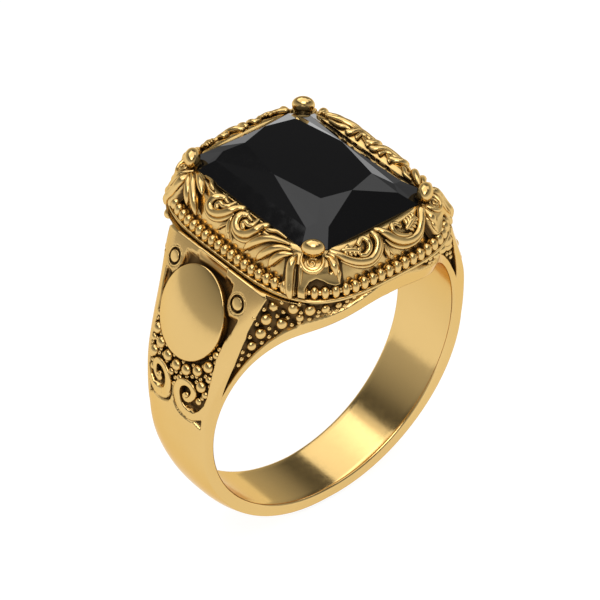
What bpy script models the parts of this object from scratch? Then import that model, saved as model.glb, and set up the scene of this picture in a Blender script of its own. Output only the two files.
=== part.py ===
"""Gemstone signet ring: a flared gold shank, granulated shoulders with an oval boss on each
side, and a rectangular beaded head that holds one faceted black stone.

Frame: metres, +Z up.  The ring stands on the bottom of its shank with the head on top.
X runs from shoulder to shoulder, Y along the finger.  The origin is under the middle of the
ring, level with the lowest point of the shank.
"""
import math

import bmesh
import bpy
from mathutils import Vector

# ---------------------------------------------------------------- driving dimensions, in mm
MM = 0.001
GAP = 0.06                 # clearance between neighbouring pieces

BORE_R = 10.3              # finger hole, 20.6 mm across
BAND_EDGE_R = 11.17        # plain band, at the edge of its outer face
BAND_CROWN = 0.38          # how far the middle of the outer face stands above its edge
CENTRE_Z = BAND_EDGE_R + BAND_CROWN   # height of the finger hole's axis

HEAD_BASE = 12.05          # underside of the head above the hole's axis
BASE_HALF = (8.00, 8.95)   # outline of the shank's top, under the head
HEAD_CORNER = 3.45         # squareness of the head's outline (2 is an ellipse)
RAIL_HALF = (7.60, 9.00)   # gallery rail, half sizes in X and Y
RAIL_TOP = 12.36
BEAD_HALF = (7.17, 8.62)   # centre line of the beaded wire
BEAD_Z = 12.84
BEAD_R = 0.42
BEAD_COUNT = 80
WALL_TOP = 14.60           # top of the bezel wall
WALL_FOOT_HALF = (6.62, 8.05)
WALL_TOP_HALF = (6.15, 7.60)
WALL_INNER_HALF = (5.25, 6.90)
WALL_INNER_CORNER = 6.0
WALL_SAG = 0.28            # depth of the wall's cove

STONE_HALF = (4.97, 6.60)  # girdle of the stone, half sizes
STONE_CUT = 1.20           # its cut corners, measured along each side
STONE_GIRDLE = (14.72, 14.90)
STONE_TABLE_Z = 16.64
TABLE_CORNER = (2.14, 3.90)
TABLE_MIDDLE = (2.60, 4.49)
PAVILION_Z = 12.55         # keel under the stone
CLAW_BALL = (4.70, 6.25, 15.42)
CLAW_BALL_R = 0.76

RIM_STRIP = 0.80           # plain strip around the finger hole, on the front and back faces
PANEL_DEPTH = 0.60         # depth of the granulated recesses
PLATE_THICKNESS = 0.28     # backing plate of the granules
PLATE_TOP = GAP + PLATE_THICKNESS - PANEL_DEPTH   # measured from the shank's surface
GRANULE_R = 0.27
PANEL_ANGLES = (22.0, 84.0)
PANEL_STEPS = 16
PLATE_STEPS = (5, 15)      # the granulated plate stops short of the recess's thin ends
OUTER_BAR = 0.95           # plain bar along each edge of a shoulder's outer face
OUTER_PANEL_ANGLES = (13.5, 56.3)
GRANULE_ROW_ANGLE = 23.6   # row of large granules between the oval boss and the spirals

# Angles are degrees above the horizontal through the hole's axis, on either shoulder.
TOP_ANGLE = math.degrees(math.atan2(HEAD_BASE, 7.70))
OUTER_RADIUS = ((0, 11.17), (12, 11.45), (23, 11.78), (32, 12.10), (40, 12.55), (48, 13.22),
                (TOP_ANGLE, math.hypot(HEAD_BASE, 7.70)))
OUTER_HALF_WIDTH = ((-90, 2.20), (-45, 2.45), (0, 2.95), (12, 3.15), (22, 3.55), (35, 4.15),
                    (46, 4.70), (TOP_ANGLE, 5.30))
BORE_HALF_WIDTH = ((-90, 2.25), (-50, 2.40), (-10, 2.78), (15, 3.35), (35, 4.25), (50, 5.50),
                   (65, 7.40), (75, 8.05), (90, 8.23))
CROWN = ((-90, BAND_CROWN), (8, BAND_CROWN), (30, 0.20), (50, 0.05))
BAR_ON_FRONT = ((20, 0.25), (30, 0.60), (52, 0.65), (60, 0.15))

OVAL_ANGLE = 41.5          # middle of the oval boss
OVAL_HALF = (3.08, 3.00)   # half sizes up the shoulder and along Y
OVAL_RISE = 0.75
STUD_ANGLE = 51.6
STUD_Y = 3.30
STUD_R = 0.42
SPIRAL_ANGLE = 17.2
SPIRAL_Y = 1.75
SPIRAL_R = 1.05

SHOULDERS = (("left", -1), ("right", 1))
FACES = (("front", -1), ("back", 1))


# ---------------------------------------------------------------- helpers
def clear_scene():
    for item in list(bpy.data.objects):
        bpy.data.objects.remove(item, do_unlink=True)


def material(name, colour, roughness, metallic):
    made = bpy.data.materials.new(name)
    made.use_nodes = True
    shader = made.node_tree.nodes["Principled BSDF"]
    shader.inputs["Base Color"].default_value = (*colour, 1.0)
    shader.inputs["Roughness"].default_value = roughness
    shader.inputs["Metallic"].default_value = metallic
    return made


def polished_gold(name):
    return material(name + "_gold", (0.80, 0.55, 0.22), 0.18, 1.0)


def antique_gold(name):
    return material(name + "_antique_gold", (0.55, 0.36, 0.13), 0.35, 1.0)


def smooth(points, x):
    """Value at x on a smooth curve through the points, level beyond its ends."""
    if x <= points[0][0]:
        return points[0][1]
    if x >= points[-1][0]:
        return points[-1][1]
    last = len(points) - 1
    index = max(i for i in range(last) if points[i][0] <= x)
    (x0, y0), (x1, y1) = points[index], points[index + 1]
    before, after = points[max(index - 1, 0)], points[min(index + 2, last)]
    slope0 = (y1 - before[1]) / (x1 - before[0])
    slope1 = (after[1] - y0) / (after[0] - x0)
    width = x1 - x0
    t = (x - x0) / width
    rise = y0 + (y1 - y0) * t * t * (3 - 2 * t)
    return rise + width * t * (1 - t) * (slope0 * (1 - t) - slope1 * t)


def make_object(name, mesh_builder, surface_material):
    """A new object from a bmesh, turned so that its faces point out."""
    bmesh.ops.recalc_face_normals(mesh_builder, faces=mesh_builder.faces)
    if mesh_builder.calc_volume(signed=True) < 0:
        bmesh.ops.reverse_faces(mesh_builder, faces=mesh_builder.faces)
    mesh = bpy.data.meshes.new(name)
    mesh_builder.to_mesh(mesh)
    mesh_builder.free()
    mesh.shade_smooth()
    mesh.set_sharp_from_angle(angle=math.radians(35))
    made = bpy.data.objects.new(name, mesh)
    bpy.context.collection.objects.link(made)
    if surface_material:
        mesh.materials.append(surface_material)
    return made


def loft(name, rings, surface_material, ring_closed=True):
    """Skin a list of closed sections (in mm); the last joins the first, or both ends are capped."""
    builder = bmesh.new()
    rows = [[builder.verts.new(Vector(point) * MM) for point in ring] for ring in rings]
    count = len(rows[0])
    pairs = list(zip(rows, rows[1:] + rows[:1])) if ring_closed else list(zip(rows, rows[1:]))
    for row, following in pairs:
        for j in range(count):
            k = (j + 1) % count
            builder.faces.new((row[j], row[k], following[k], following[j]))
    if not ring_closed:
        builder.faces.new(rows[0])
        builder.faces.new(rows[-1])
    bmesh.ops.triangulate(builder, faces=builder.faces)
    return make_object(name, builder, surface_material)


def patch(name, surface, bottom, top, steps, surface_material):
    """A closed plate on a curved surface: surface(u, v, height), with bottom and top heights."""
    across, along = steps
    rings = []
    for i in range(across + 1):
        u = i / across
        lower = [surface(u, j / along, bottom(u, j / along)) for j in range(along + 1)]
        upper = [surface(u, j / along, top(u, j / along)) for j in range(along + 1)]
        rings.append(lower + upper[::-1])
    return loft(name, rings, surface_material, ring_closed=False)


def level(height):
    return lambda u, v: height


def tube(name, centres, radius, sides, surface_material):
    """A round bar along a list of points in mm; radius(t) gives its radius from end to end."""
    rings = []
    last = len(centres) - 1
    side_way = None
    for i, centre in enumerate(centres):
        ahead = Vector(centres[min(i + 1, last)]) - Vector(centres[max(i - 1, 0)])
        ahead.normalize()
        if side_way is None:
            side_way = ahead.orthogonal()
        side_way = (side_way - ahead * side_way.dot(ahead)).normalized()
        up_way = ahead.cross(side_way)
        ring = []
        for k in range(sides):
            turn = 2 * math.pi * k / sides
            arm = side_way * math.cos(turn) + up_way * math.sin(turn)
            ring.append(Vector(centre) + arm * radius(i / last))
        rings.append(ring)
    return loft(name, rings, surface_material, ring_closed=False)


def hide_tool(tool):
    tool.hide_render = True
    tool.display_type = "WIRE"


def boolean(target, tool, operation):
    hide_tool(tool)
    cut = target.modifiers.new(operation.lower() + "_" + tool.name, "BOOLEAN")
    cut.operation = operation
    cut.solver = "EXACT"
    cut.object = tool


def domes(name, places):
    """Small half-sunk balls, as one operand for a union; places are (centre, radius) in mm."""
    builder = bmesh.new()
    for centre, radius in places:
        made = bmesh.ops.create_uvsphere(builder, u_segments=6, v_segments=4, radius=radius * MM)
        bmesh.ops.translate(builder, verts=made["verts"], vec=Vector(centre) * MM)
    return make_object(name, builder, None)


# ---------------------------------------------------------------- the shank's surfaces
def ring_point(side, radius, angle, y):
    """A point at a radius and angle around the finger hole's axis, on one shoulder."""
    turn = math.radians(angle)
    return Vector((side * radius * math.cos(turn), y, CENTRE_Z + radius * math.sin(turn)))


def outline(turn, half, corner=HEAD_CORNER):
    """A point on a rounded rectangle (a superellipse) at a parameter angle in radians."""
    c, s = math.cos(turn), math.sin(turn)
    x = half[0] * math.copysign(abs(c) ** (2 / corner), c)
    y = half[1] * math.copysign(abs(s) ** (2 / corner), s)
    return x, y


def outer_radius(angle):
    if angle > TOP_ANGLE:
        return HEAD_BASE / math.sin(math.radians(angle))
    return smooth(OUTER_RADIUS, angle)


def outer_half_width(angle):
    """Half width of the outer face; over the head's base it follows the head's outline."""
    if angle <= TOP_ANGLE:
        return smooth(OUTER_HALF_WIDTH, angle)
    x = HEAD_BASE / math.tan(math.radians(angle))
    reach = 1 - (x / BASE_HALF[0]) ** HEAD_CORNER
    return BASE_HALF[1] * reach ** (1 / HEAD_CORNER)


def front_point(side, face, angle, across, height):
    """On a front or back face: across is 0 at the finger hole and 1 at the outer edge."""
    inner_y = smooth(BORE_HALF_WIDTH, angle)
    rise = outer_radius(angle) - BORE_R
    lean = outer_half_width(angle) - inner_y
    length = math.hypot(rise, lean)
    radius = BORE_R + rise * across - height * lean / length
    y = inner_y + lean * across + height * rise / length
    return ring_point(side, radius, angle, face * y)


def outer_point(side, angle, y, height):
    """On the crowned outer face of the shank and its shoulders."""
    share = min(abs(y) / outer_half_width(angle), 1.0)
    crown = smooth(CROWN, angle) * (1 - share * share)
    return ring_point(side, outer_radius(angle) + crown + height, angle, y)


def shank_section(side, angle):
    inner_y = smooth(BORE_HALF_WIDTH, angle)
    half = [ring_point(side, BORE_R, angle, inner_y - 0.30),
            front_point(side, 1, angle, 0.12, 0.0),
            front_point(side, 1, angle, 0.90, 0.0),
            outer_point(side, angle, outer_half_width(angle) - 0.15, 0.0),
            outer_point(side, angle, outer_half_width(angle) * 0.5, 0.0)]
    middle = outer_point(side, angle, 0.0, 0.0)
    mirrored = [Vector((point.x, -point.y, point.z)) for point in half]
    return half + [middle] + mirrored[::-1]


def build_shank():
    band = [-90 + (TOP_ANGLE + 90) * i / 20 for i in range(21)]
    under_head = [TOP_ANGLE + (90 - TOP_ANGLE) * i / 6 for i in range(1, 7)]
    angles = band + under_head
    rings = [shank_section(1, angle) for angle in angles]
    rings += [shank_section(-1, angle) for angle in reversed(angles[1:-1])]
    shank = loft("shank", rings, polished_gold("shank"))
    for shoulder, side in SHOULDERS:
        for face_name, face in FACES:
            recess = patch(f"recess_{face_name}_{shoulder}", front_panel(side, face, (0, PANEL_STEPS), 0.0),
                           level(-PANEL_DEPTH), level(0.6), (PANEL_STEPS, 1), None)
            boolean(shank, recess, "DIFFERENCE")
        recess = patch(f"recess_outer_{shoulder}", outer_panel(side, 0.0),
                       level(-PANEL_DEPTH), level(0.8), (8, 6), None)
        boolean(shank, recess, "DIFFERENCE")
    return shank


# ---------------------------------------------------------------- granulated recesses
def front_panel(side, face, steps, margin):
    """The triangular panel on a front or back face, between two of its steps, shrunk by a
    margin along its sides."""
    first, last = PANEL_ANGLES

    def place(u, v, height):
        u = (steps[0] + (steps[1] - steps[0]) * u) / PANEL_STEPS
        if u < 0.5:
            angle = first + (TOP_ANGLE - first) * 2 * u
        else:
            angle = TOP_ANGLE + (last - TOP_ANGLE) * (2 * u - 1)
        rise = outer_radius(angle) - BORE_R
        low = (RIM_STRIP + margin) / rise
        high = 1 - (smooth(BAR_ON_FRONT, angle) + margin) / rise
        high = max(high, low + 0.06 / rise)
        return front_point(side, face, angle, low + (high - low) * v, height)
    return place


def outer_panel(side, margin):
    """The panel between the edge bars of a shoulder's outer face, shrunk by a margin."""
    first, last = OUTER_PANEL_ANGLES
    first += margin * 5
    last -= margin * 5

    def place(u, v, height):
        angle = first + (last - first) * u
        half = outer_half_width(angle) - OUTER_BAR - margin
        return outer_point(side, angle, half * (2 * v - 1), height)
    return place


def build_granule_panels():
    """Thin backing plates with their larger granules, let into the recesses."""
    floor = -PANEL_DEPTH + 2 * GAP
    top = PLATE_TOP
    for shoulder, side in SHOULDERS:
        for face_name, face in FACES:
            name = f"granule_panel_{face_name}_{shoulder}"
            surface = front_panel(side, face, PLATE_STEPS, 2.5 * GAP)
            steps = PLATE_STEPS[1] - PLATE_STEPS[0]
            plate = patch(name, surface, level(floor), level(top), (steps, 1),
                          antique_gold(name))
            places = [(surface(0.20 + 0.15 * i, 0.5, top + 0.03), GRANULE_R)
                      for i in range(5)]
            boolean(plate, domes("granules_" + name, places), "UNION")
        name = f"granule_panel_outer_{shoulder}"
        surface = outer_panel(side, 2.5 * GAP)
        plate = patch(name, surface, level(floor), level(top), (7, 4), antique_gold(name))
        places = [(outer_point(side, GRANULE_ROW_ANGLE, 0.85 * i, top), GRANULE_R)
                  for i in range(-2, 3)]
        boolean(plate, domes("granules_" + name, places), "UNION")


# ---------------------------------------------------------------- shoulder ornaments
def build_oval_boss(shoulder, side):
    """A polished oval cabochon of gold on the middle of the shoulder."""
    name = f"oval_boss_{shoulder}"
    radius = outer_radius(OVAL_ANGLE)
    sides, rows = 20, 3
    under = [(PLATE_TOP + GAP, shrink) for shrink in (0.15, 0.55, 1.0)]
    quarter = [math.pi / 2 * row / rows for row in range(rows + 1)]
    over = [(0.05 + OVAL_RISE * math.sin(turn), math.cos(0.93 * turn)) for turn in quarter]
    rings = []
    for lift, shrink in under + over:
        ring = []
        for k in range(sides):
            turn = 2 * math.pi * k / sides
            climb = OVAL_HALF[0] * shrink * math.cos(turn)
            angle = OVAL_ANGLE + math.degrees(climb / radius)
            ring.append(outer_point(side, angle, OVAL_HALF[1] * shrink * math.sin(turn), lift))
        rings.append(ring)
    loft(name, rings, polished_gold(name), ring_closed=False)


def build_ear(shoulder, side, face_name, face):
    """The lug beside the oval boss that carries a stud, under the head's corner."""
    name = f"ear_plate_{face_name}_{shoulder}"
    floor = PLATE_TOP + GAP
    bar = OUTER_BAR + 3 * GAP

    def place(u, v, height):
        angle = 53.9 - 5.4 * v
        outer = outer_half_width(angle) - bar
        inner = STUD_Y - 1.10 + 0.75 * abs(2 * v - 0.9)
        return outer_point(side, angle, face * (inner + (outer - inner) * u), height)
    patch(name, place, level(floor), level(-0.02), (3, 4), polished_gold(name))


def build_stud(shoulder, side, face_name, face):
    name = f"stud_{face_name}_{shoulder}"
    radius = outer_radius(STUD_ANGLE)
    rings = []
    for lift, shrink in ((0.05, 1.0), (0.28, 0.95), (0.38, 0.55)):
        ring = []
        for k in range(10):
            turn = 2 * math.pi * k / 10
            angle = STUD_ANGLE + math.degrees(STUD_R * shrink * math.cos(turn) / radius)
            y = face * STUD_Y + STUD_R * shrink * math.sin(turn)
            ring.append(outer_point(side, angle, y, lift))
        rings.append(ring)
    loft(name, rings, polished_gold(name), ring_closed=False)


def build_spiral(shoulder, side, face_name, face):
    """A scroll of wire at the foot of the granulated field."""
    name = f"shoulder_spiral_{face_name}_{shoulder}"
    radius = outer_radius(SPIRAL_ANGLE)
    centres = []
    for i in range(14):
        t = i / 13
        reach = SPIRAL_R * (1 - 0.72 * t) - 0.22
        turn = math.radians(210 - 470 * t)
        angle = SPIRAL_ANGLE + math.degrees(reach * math.sin(turn) / radius)
        y = SPIRAL_Y - reach * math.cos(turn) * -1
        centres.append(outer_point(side, angle, face * y, 0.10))
    tube(name, centres, lambda t: 0.20 - 0.05 * t, 5, polished_gold(name))


# ---------------------------------------------------------------- the head
def outline_turns(half, count):
    """Parameter angles that place points at equal distances along an outline."""
    fine = 2400
    points = [outline(2 * math.pi * i / fine, half) for i in range(fine + 1)]
    travelled = [0.0]
    for a, b in zip(points, points[1:]):
        travelled.append(travelled[-1] + math.dist(a, b))
    turns, index = [], 0
    for k in range(count):
        target = travelled[-1] * k / count
        while travelled[index + 1] < target:
            index += 1
        share = (target - travelled[index]) / (travelled[index + 1] - travelled[index])
        turns.append(2 * math.pi * (index + share) / fine)
    return turns


def head_ring(name, sections, surface_material, count=48):
    """A closed band around the head: sections are (half sizes, corner, height) in order."""
    rings = []
    for turn in outline_turns(RAIL_HALF, count):
        ring = []
        for half, corner, height in sections:
            x, y = outline(turn, half, corner)
            ring.append((x, y, CENTRE_Z + height))
        rings.append(ring)
    return loft(name, rings, surface_material)


def grown(half, amount):
    return half[0] + amount, half[1] + amount


def wall_half(share):
    """Half sizes of the bezel wall's outer face, from its foot (0) to its top (1)."""
    sag = WALL_SAG * 4 * share * (1 - share)
    return tuple(a + (b - a) * share - sag for a, b in zip(WALL_FOOT_HALF, WALL_TOP_HALF))


def build_rail():
    base = HEAD_BASE + GAP
    inner = (6.0, 7.4)
    head_ring("gallery_rail", [(grown(RAIL_HALF, -0.12), HEAD_CORNER, base),
                               (RAIL_HALF, HEAD_CORNER, base + 0.14),
                               (RAIL_HALF, HEAD_CORNER, RAIL_TOP - 0.12),
                               (grown(RAIL_HALF, -0.12), HEAD_CORNER, RAIL_TOP),
                               (inner, HEAD_CORNER, RAIL_TOP), (inner, HEAD_CORNER, base)],
              polished_gold("gallery_rail"))


def build_bead_wire():
    """A wire of beads laid around the head on the rail."""
    turns = outline_turns(BEAD_HALF, BEAD_COUNT * 2)
    rings = []
    for i, turn in enumerate(turns):
        x, y = outline(turn, BEAD_HALF)
        ahead = outline(turn + 0.002, BEAD_HALF)
        away = Vector((ahead[1] - y, x - ahead[0], 0)).normalized()
        radius = BEAD_R if i % 2 == 0 else BEAD_R * 0.45
        ring = []
        for k in range(5):
            spin = 2 * math.pi * k / 5
            ring.append(Vector((x, y, CENTRE_Z + BEAD_Z)) + away * radius * math.cos(spin)
                        + Vector((0, 0, radius * math.sin(spin) * 1.05)))
        rings.append(ring)
    loft("bead_wire", rings, antique_gold("bead_wire"))


def build_bezel_wall():
    foot = RAIL_TOP + GAP
    levels = [(wall_half(share), HEAD_CORNER, foot + (WALL_TOP - foot) * share)
              for share in (0.0, 0.25, 0.5, 0.75, 1.0)]
    levels += [(WALL_INNER_HALF, WALL_INNER_CORNER, WALL_TOP),
               (WALL_INNER_HALF, WALL_INNER_CORNER, foot)]
    head_ring("bezel_wall", levels, antique_gold("bezel_wall"))


def build_stone_seat():
    """The bearing inside the bezel that the stone's underside rests on."""
    foot = HEAD_BASE + GAP
    outer = grown(WALL_INNER_HALF, -GAP * 1.5)
    head_ring("stone_seat", [(outer, WALL_INNER_CORNER, RAIL_TOP + 0.3),
                             (outer, WALL_INNER_CORNER, STONE_GIRDLE[0] - 0.55),
                             ((4.55, 6.15), WALL_INNER_CORNER, STONE_GIRDLE[0] - 0.55),
                             ((4.15, 5.75), WALL_INNER_CORNER, STONE_GIRDLE[0] - 1.00),
                             ((4.15, 5.75), WALL_INNER_CORNER, foot),
                             ((5.1, 6.6), WALL_INNER_CORNER, foot)],
              polished_gold("stone_seat"), count=40)


def cut_corner_rectangle(half, cut):
    (a, b) = half
    return [(a, b - cut), (a - cut, b), (-a + cut, b), (-a, b - cut),
            (-a, -b + cut), (-a + cut, -b), (a - cut, -b), (a, -b + cut)]


def stone_points(grow=0.0):
    """Corner points of the stone's facets; grow gives the larger tool that clears it."""
    points = []
    for height in STONE_GIRDLE:
        points += [(x, y, height) for x, y in cut_corner_rectangle(grown(STONE_HALF, grow),
                                                                    STONE_CUT)]
    table = STONE_TABLE_Z + grow
    for sx in (-1, 1):
        points.append((sx * (TABLE_MIDDLE[0] + grow), 0, table))
        points.append((0, sx * (TABLE_MIDDLE[1] + grow), table))
        for sy in (-1, 1):
            points.append((sx * (TABLE_CORNER[0] + grow), sy * (TABLE_CORNER[1] + grow), table))
    keel = PAVILION_Z - grow
    points += [(0, -1.6, keel), (0, 1.6, keel)]
    return [Vector((x, y, CENTRE_Z + z)) for x, y, z in points]


def hull(name, points, surface_material):
    builder = bmesh.new()
    for point in points:
        builder.verts.new(point * MM)
    made = bmesh.ops.convex_hull(builder, input=builder.verts)
    loose = [item for item in made["geom_interior"] + made["geom_unused"]
             if isinstance(item, bmesh.types.BMVert)]
    bmesh.ops.delete(builder, geom=loose, context="VERTS")
    return make_object(name, builder, surface_material)


def build_stone():
    hull("stone", stone_points(), material("stone_black", (0.012, 0.012, 0.013), 0.06, 0.0))


def build_claw(name, sx, sy):
    """A prong whose ball tip laps over one cut corner of the stone."""
    ball = Vector((sx * CLAW_BALL[0], sy * CLAW_BALL[1], CENTRE_Z + CLAW_BALL[2]))
    foot = Vector((sx * 5.28, sy * 6.98, CENTRE_Z + WALL_TOP + GAP))
    builder = bmesh.new()
    made = bmesh.ops.create_uvsphere(builder, u_segments=10, v_segments=7,
                                     radius=CLAW_BALL_R * MM)
    bmesh.ops.translate(builder, verts=made["verts"], vec=ball * MM)
    claw = make_object(name, builder, polished_gold(name))
    neck = tube("neck_" + name, [foot, foot.lerp(ball, 0.5), foot.lerp(ball, 0.9)],
                lambda t: 0.42 - 0.12 * t, 8, None)
    boolean(claw, neck, "UNION")
    boolean(claw, hull("room_for_stone_" + name, stone_points(GAP), None), "DIFFERENCE")
    floor = bmesh.new()
    bmesh.ops.create_cube(floor, size=4 * MM)
    centre = Vector((ball.x, ball.y, CENTRE_Z + WALL_TOP + GAP - 2.0)) * MM
    bmesh.ops.translate(floor, verts=floor.verts, vec=centre)
    boolean(claw, make_object("room_for_wall_" + name, floor, None), "DIFFERENCE")


# ---------------------------------------------------------------- ornament around the rim
def rim_point(sx, sy, long_side, along, climb, height):
    """On the bezel wall: along runs in mm from the middle of a side towards its corner,
    climb from the wall's foot (0) past its top (1), height stands off the wall."""
    half = wall_half(min(climb, 1.0))
    radius = grown(half, height)
    z = RAIL_TOP + GAP + (WALL_TOP - RAIL_TOP - GAP) * climb
    if long_side:
        y = along
        x = radius[0] * max(1 - abs(y / radius[1]) ** HEAD_CORNER, 0) ** (1 / HEAD_CORNER)
        return Vector((sx * x, sy * y, CENTRE_Z + z))
    x = along
    y = radius[1] * max(1 - abs(x / radius[0]) ** HEAD_CORNER, 0) ** (1 / HEAD_CORNER)
    return Vector((sx * x, sy * y, CENTRE_Z + z))


def build_scroll(name, sx, sy, long_side, middle, size):
    """A C-shaped scroll that ends in a curl, lying on the bezel wall."""
    wire = 0.27
    centres = []
    for i in range(15):
        t = i / 14
        reach = size * (1 - 0.62 * t * t)
        turn = math.radians(200 + 330 * t)
        along = middle + reach * math.cos(turn)
        climb = 0.92 + 0.42 * reach * math.sin(turn) / size
        centres.append(rim_point(sx, sy, long_side, along, climb, wire + 3.5 * GAP))
    tube(name, centres, lambda t: wire - 0.07 * t, 5, polished_gold(name))


def build_rim_scrolls():
    for shoulder, side in SHOULDERS:
        for face_name, face in FACES:
            build_scroll(f"side_scroll_{face_name}_{shoulder}", side, face, True, 1.45, 0.95)
            build_scroll(f"end_scroll_{face_name}_{shoulder}", side, face, False, 1.75, 1.15)


def build_leaf(name, sx, sy):
    """A fan of three fronds that springs from a corner along the long side."""
    def place(u, v, height):
        return rim_point(sx, sy, True, 2.85 + 2.1 * u, 0.62 + 0.5 * v, height)

    def lobes(u, v):
        return 3.2 * GAP + 0.20 + 0.16 * abs(math.sin(3 * math.pi * v))
    patch(name, place, level(2.6 * GAP), lobes, (3, 6), polished_gold(name))


def build_corner_shield(name, sx, sy):
    """The drape that hangs from a claw over the corner of the wall."""
    start, end = math.radians(36), math.radians(54)

    def place(u, v, height):
        climb = 0.50 + 0.47 * v
        x, y = outline(start + (end - start) * u, grown(wall_half(min(climb, 1.0)), height))
        z = RAIL_TOP + GAP + (WALL_TOP - RAIL_TOP - GAP) * climb
        return Vector((sx * x, sy * y, CENTRE_Z + z))

    def lobes(u, v):
        return 0.42 + 0.14 * abs(math.sin(3 * math.pi * u))
    patch(name, place, level(2.6 * GAP), lobes, (9, 3), polished_gold(name))


def build_spike(name, sx, sy, long_side):
    """The small pointed leaf between the two scrolls of one side."""
    centres = [rim_point(sx, sy, long_side, 0.0, climb, 0.40) for climb in (0.62, 0.85, 1.08, 1.2)]
    widths = (0.10, 0.20, 0.15, 0.05)
    tube(name, centres, lambda t: widths[round(t * 3)], 6, polished_gold(name))


def build_head():
    build_rail()
    build_bead_wire()
    build_bezel_wall()
    build_stone_seat()
    build_stone()
    build_rim_scrolls()
    for shoulder, side in SHOULDERS:
        for face_name, face in FACES:
            corner = f"{face_name}_{shoulder}"
            build_claw("claw_" + corner, side, face)
            build_leaf("leaf_fan_" + corner, side, face)
            build_corner_shield("corner_shield_" + corner, side, face)
        build_spike("side_spike_" + shoulder, side, 1, True)
    for face_name, face in FACES:
        build_spike("end_spike_" + face_name, 1, face, False)


def build_shoulders():
    build_granule_panels()
    for shoulder, side in SHOULDERS:
        build_oval_boss(shoulder, side)
        for face_name, face in FACES:
            build_ear(shoulder, side, face_name, face)
            build_stud(shoulder, side, face_name, face)
            build_spiral(shoulder, side, face_name, face)


clear_scene()
build_shank()
build_shoulders()
build_head()
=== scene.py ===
"""Looks of the gemstone signet ring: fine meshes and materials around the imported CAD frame.

Lengths are in millimetres until a mesh is made.  Heights are measured from the finger hole's
axis, angles in degrees above the horizontal through it, on either shoulder.
"""

import math

import bmesh
import bpy
import numpy as np
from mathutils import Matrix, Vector


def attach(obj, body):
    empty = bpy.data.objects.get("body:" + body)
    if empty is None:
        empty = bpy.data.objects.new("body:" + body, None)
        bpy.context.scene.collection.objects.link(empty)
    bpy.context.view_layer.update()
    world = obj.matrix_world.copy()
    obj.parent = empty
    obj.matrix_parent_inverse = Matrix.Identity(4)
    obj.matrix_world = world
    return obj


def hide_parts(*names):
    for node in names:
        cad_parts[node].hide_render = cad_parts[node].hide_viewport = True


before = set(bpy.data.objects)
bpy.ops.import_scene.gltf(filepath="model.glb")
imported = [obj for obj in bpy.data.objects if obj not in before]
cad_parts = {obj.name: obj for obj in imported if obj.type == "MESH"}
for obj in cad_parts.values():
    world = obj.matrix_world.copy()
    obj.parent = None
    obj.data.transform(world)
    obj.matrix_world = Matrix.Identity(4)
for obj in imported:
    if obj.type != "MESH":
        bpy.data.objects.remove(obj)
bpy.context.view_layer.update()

# ---------------------------------------------------------------- dimensions
# The finger hole and the plain band are the CAD's; the shoulders and the head are close to it.
MM = 0.001
BORE_R = 10.3
BAND_CROWN = 0.38
CENTRE_Z = 11.55
HEAD_BASE = 11.97
BASE_HALF = (7.84, 8.76)
HEAD_CORNER = 3.35
SHOULDER_X = 7.70
TOP_ANGLE = math.degrees(math.atan2(HEAD_BASE, SHOULDER_X))
OUTER_RADIUS = ((0, 11.17), (12, 11.45), (23, 11.78), (32, 12.10), (40, 12.55), (48, 13.22),
                (TOP_ANGLE, math.hypot(HEAD_BASE, SHOULDER_X)))
OUTER_HALF_WIDTH = ((-90, 2.20), (-45, 2.45), (0, 2.95), (12, 3.15), (22, 3.52), (35, 4.04),
                    (46, 4.52), (TOP_ANGLE, 5.15))
BORE_HALF_WIDTH = ((-90, 2.25), (-50, 2.40), (-10, 2.78), (15, 3.35), (35, 4.25), (50, 5.50),
                   (65, 7.40), (75, 8.05), (90, 8.23))
CROWN = ((-90, BAND_CROWN), (8, BAND_CROWN), (25, 0.42), (40, 0.40), (50, 0.34))
EDGE_DROP = ((0, 0.0), (15, 0.08), (30, 0.30), (45, 0.45), (TOP_ANGLE, 0.30))

RAIL_HALF = (7.50, 8.88)
RAIL_HEIGHTS = (12.04, 12.27)
BEAD_HALF = (7.10, 8.53)
BEAD_Z = 12.66
BEAD_SIZE = (0.32, 0.42, 0.49)     # along the wire, outwards, up
BEAD_COUNT = 80

BORE_CORNER = 0.22                 # rounding between the finger hole and a front face
EDGE_START = 0.76                  # share of the outer face's half width where it rounds off
RECESS_DEPTH = 0.52
STUD_ANGLE = 51.6
STUD_Y = 3.27
STUD_GROOVE = 0.52                 # radius of the groove around a stud
OVAL_ANGLE = 41.6
OVAL_HALF = (3.17, 2.98)
FRONT_SCALE = 0.2007               # mm along a front face for one degree

SHOULDERS = (("left", -1), ("right", 1))
FACES = (("front", -1), ("back", 1))
CORNERS = [(f"{face_name}_{shoulder}", side, face)
           for shoulder, side in SHOULDERS for face_name, face in FACES]


# ---------------------------------------------------------------- curves and distances
def smooth(points, x):
    """Value at x (number or array) on a smooth curve through the points, level beyond its ends."""
    xs, ys = np.array(points, float).T
    x = np.clip(x, xs[0], xs[-1])
    index = np.clip(np.searchsorted(xs, x, side="right") - 1, 0, len(xs) - 2)
    before = np.maximum(index - 1, 0)
    after = np.minimum(index + 2, len(xs) - 1)
    width = xs[index + 1] - xs[index]
    slope0 = (ys[index + 1] - ys[before]) / (xs[index + 1] - xs[before])
    slope1 = (ys[after] - ys[index]) / (xs[after] - xs[index])
    t = (x - xs[index]) / width
    rise = ys[index] + (ys[index + 1] - ys[index]) * t * t * (3 - 2 * t)
    return rise + width * t * (1 - t) * (slope0 * (1 - t) - slope1 * t)


def ease(low, high, x):
    """0 below low, 1 above high, smooth between."""
    t = np.clip((x - low) / (high - low), 0.0, 1.0)
    return t * t * (3 - 2 * t)


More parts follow.
